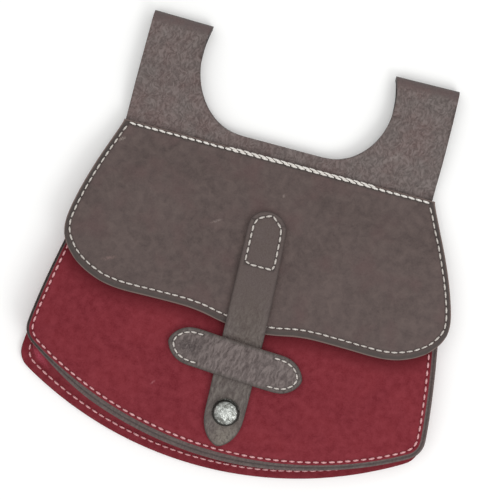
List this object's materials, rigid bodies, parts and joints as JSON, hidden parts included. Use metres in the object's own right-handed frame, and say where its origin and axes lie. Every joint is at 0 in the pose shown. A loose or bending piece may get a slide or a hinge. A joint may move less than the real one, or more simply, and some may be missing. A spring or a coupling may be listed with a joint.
{
  "type": "medieval belt pouch",
  "caption": "Medieval belt pouch of red suede with a brown leather flap, closing strap, keeper, stud and two belt loops, lying on its back.",
  "frame": {"origin": "middle of the footprint, on the surface that the pouch lies on", "axes": "+Z out of the pouch's front, +Y towards the belt loops, +X to the right as the front is seen"},
  "size_m": [0.22, 0.2292, 0.0303],
  "materials": {
    "red_suede": "dark red suede, napped and matt",
    "nubuck": "brown nubuck, smooth and matt",
    "grained_leather": "brown leather with a wrinkled grain",
    "hammered_metal": "silver coloured metal, hammered dome"
  },
  "bodies": {
    "root": {"back_panel": "red_suede", "gusset": "red_suede", "front_welt": "grained_leather", "front_panel": "red_suede", "yoke": "grained_leather", "flap": "nubuck", "strap": "grained_leather", "keeper": "grained_leather", "stud": "hammered_metal"}
  },
  "joints": []
}
